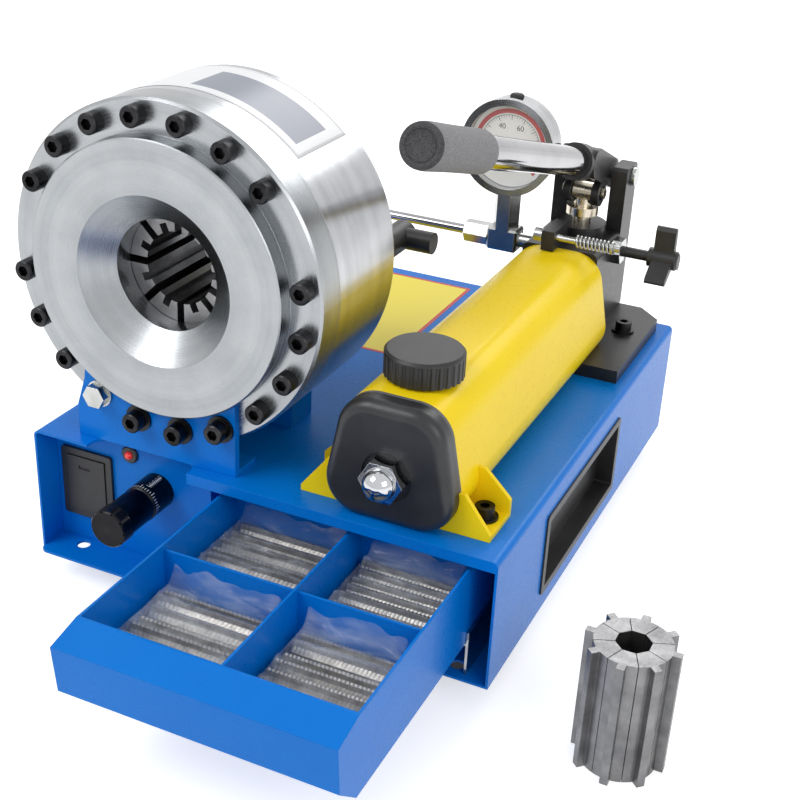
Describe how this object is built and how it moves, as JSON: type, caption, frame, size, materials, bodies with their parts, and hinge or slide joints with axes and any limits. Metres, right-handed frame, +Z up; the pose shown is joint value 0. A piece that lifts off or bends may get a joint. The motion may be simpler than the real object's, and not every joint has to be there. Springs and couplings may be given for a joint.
{
  "type": "hose crimping machine",
  "caption": "Bench-top hydraulic hose crimper with a hand pump, round head with radial dies, pressure gauge and a die drawer in a sheet-metal base.",
  "frame": {"origin": "middle of the hose throat, the straight bore behind the head's funnel", "axes": "-Y out of the hose mouth towards the user, +Z up, +X towards the pump side"},
  "size_m": [0.5507, 0.68, 0.4235],
  "materials": {
    "blue_paint": "gloss blue enamel on sheet steel",
    "yellow_paint": "gloss yellow enamel",
    "black_paint": "semi-gloss black enamel",
    "black_plastic": "moulded, fine texture",
    "black_rubber": "moulded",
    "grey_rubber": "foam, matt",
    "black_anodised": "anodised, satin",
    "black_oxide": "black oxide",
    "machined_steel": "turned and ground",
    "steel": "machined",
    "die_steel": "hardened, dark oxide",
    "zinc": "zinc plated",
    "nickel": "nickel plated",
    "stainless": "satin stainless",
    "chrome": "polished",
    "red_lens": "translucent",
    "white_dial": "printed card",
    "clear_glass": "clear"
  },
  "bodies": {
    "frame": {"base_shell": "blue_paint", "base_floor": "blue_paint", "rubber_feet": "black_rubber", "control_panel": "blue_paint", "carry_handle_left": "black_plastic", "carry_handle_right": "black_plastic", "battery_housing": "black_plastic", "indicator_lamp": "red_lens", "micrometer_sleeve": "black_anodised", "front_cover": "machined_steel", "head_body": "machined_steel", "rear_cylinder": "machined_steel", "rear_housing": "black_paint", "stroke_switch": "black_plastic", "flange_screws": "black_oxide", "front_bracket": "blue_paint", "rear_saddle": "blue_paint", "drawer_runners": "zinc", "reservoir_tube": "yellow_paint", "reservoir_gasket": "grey_rubber", "reservoir_cap": "black_paint", "cap_nut": "chrome", "tie_rod": "steel", "pump_foot": "yellow_paint", "pump_head": "black_paint", "mounting_bolts": "black_oxide", "fulcrum_posts": "black_paint", "fulcrum_pin": "zinc", "valve_gland": "zinc", "tee_fitting": "zinc", "pressure_pipe": "steel", "pipe_nuts": "zinc", "gauge_case": "stainless", "gauge_dial": "white_dial", "gauge_lens": "clear_glass", "spring_rod": "zinc", "coil_spring": "zinc", "standing_die_set": "die_steel"},
    "battery_tray": {"battery_tray": "black_plastic"},
    "thimble": {"micrometer_thimble": "black_anodised"},
    "spindle": {"micrometer_spindle": "steel"},
    "piston": {"cone_piston": "steel"},
    "drawer": {"drawer_tray": "blue_paint", "drawer_dividers": "blue_paint", "die_bags": "die_steel"},
    "filler": {"filler_cap": "black_plastic"},
    "lever": {"handle_lever": "black_paint", "handle_tube": "chrome", "handle_grip": "grey_rubber"},
    "plunger": {"plunger": "nickel"},
    "knob": {"release_knob": "black_plastic"},
    "pointer": {"gauge_pointer": "black_paint"},
    "die_1": {"master_die_1": "die_steel"},
    "die_2": {"master_die_2": "die_steel"},
    "die_3": {"master_die_3": "die_steel"},
    "die_4": {"master_die_4": "die_steel"},
    "die_5": {"master_die_5": "die_steel"},
    "die_6": {"master_die_6": "die_steel"},
    "die_7": {"master_die_7": "die_steel"},
    "die_8": {"master_die_8": "die_steel"}
  },
  "joints": [
    {"name": "drawer_slide", "type": "slide", "parent": "frame", "child": "drawer", "axis": [0, -1, 0], "range_m": [-0.169, 0.012]},
    {"name": "battery_tray_slide", "type": "slide", "parent": "frame", "child": "battery_tray", "axis": [0, -1, 0], "range_m": [0, 0.03]},
    {"name": "thimble_turn", "type": "hinge", "parent": "frame", "child": "thimble", "pos_m": [-0.016, -0.0345, -0.188], "axis": [0, 1, 0], "range_deg": [-1800, 1800]},
    {"name": "spindle_slide", "type": "slide", "parent": "frame", "child": "spindle", "axis": [0, 1, 0], "range_m": [-0.00251, 0.00251]},
    {"name": "piston_slide", "type": "slide", "parent": "frame", "child": "piston", "axis": [0, -1, 0], "range_m": [0, 0.031]},
    {"name": "filler_cap_turn", "type": "hinge", "parent": "frame", "child": "filler", "pos_m": [0.192, 0.0335, -0.052], "axis": [0, 0, 1], "range_deg": [0, 720]},
    {"name": "lever_hinge", "type": "hinge", "parent": "frame", "child": "lever", "pos_m": [0.192, 0.4335, -0.003], "axis": [-1, 0, 0], "range_deg": [-10, 35]},
    {"name": "plunger_slide", "type": "slide", "parent": "frame", "child": "plunger", "axis": [0, 0, 1], "range_m": [-0.00628, 0.02193]},
    {"name": "release_knob_turn", "type": "hinge", "parent": "frame", "child": "knob", "pos_m": [0.228, 0.3925, -0.063], "axis": [1, 0, 0], "range_deg": [0, 270]},
    {"name": "gauge_pointer_turn", "type": "hinge", "parent": "frame", "child": "pointer", "pos_m": [0.128, 0.3675, 0.028], "axis": [0, 1, 0], "range_deg": [0, 270]},
    {"name": "die_1_slide", "type": "slide", "parent": "frame", "child": "die_1", "axis": [-0.9239, 0, -0.3827], "range_m": [0, 0.0066]},
    {"name": "die_2_slide", "type": "slide", "parent": "frame", "child": "die_2", "axis": [-0.3827, 0, -0.9239], "range_m": [0, 0.0066]},
    {"name": "die_3_slide", "type": "slide", "parent": "frame", "child": "die_3", "axis": [0.3827, 0, -0.9239], "range_m": [0, 0.0066]},
    {"name": "die_4_slide", "type": "slide", "parent": "frame", "child": "die_4", "axis": [0.9239, 0, -0.3827], "range_m": [0, 0.0066]},
    {"name": "die_5_slide", "type": "slide", "parent": "frame", "child": "die_5", "axis": [0.9239, 0, 0.3827], "range_m": [0, 0.0066]},
    {"name": "die_6_slide", "type": "slide", "parent": "frame", "child": "die_6", "axis": [0.3827, 0, 0.9239], "range_m": [0, 0.0066]},
    {"name": "die_7_slide", "type": "slide", "parent": "frame", "child": "die_7", "axis": [-0.3827, 0, 0.9239], "range_m": [0, 0.0066]},
    {"name": "die_8_slide", "type": "slide", "parent": "frame", "child": "die_8", "axis": [-0.9239, 0, 0.3827], "range_m": [0, 0.0066]}
  ],
  "couplings": [
    {"joint": "plunger_slide", "follows": "lever_hinge", "m_per_rad": 0.035869},
    {"joint": "spindle_slide", "follows": "thimble_turn", "m_per_rad": 0.000079577},
    {"joint": "die_1_slide", "follows": "piston_slide", "ratio": 0.21256},
    {"joint": "die_2_slide", "follows": "piston_slide", "ratio": 0.21256},
    {"joint": "die_3_slide", "follows": "piston_slide", "ratio": 0.21256},
    {"joint": "die_4_slide", "follows": "piston_slide", "ratio": 0.21256},
    {"joint": "die_5_slide", "follows": "piston_slide", "ratio": 0.21256},
    {"joint": "die_6_slide", "follows": "piston_slide", "ratio": 0.21256},
    {"joint": "die_7_slide", "follows": "piston_slide", "ratio": 0.21256},
    {"joint": "die_8_slide", "follows": "piston_slide", "ratio": 0.21256}
  ]
}
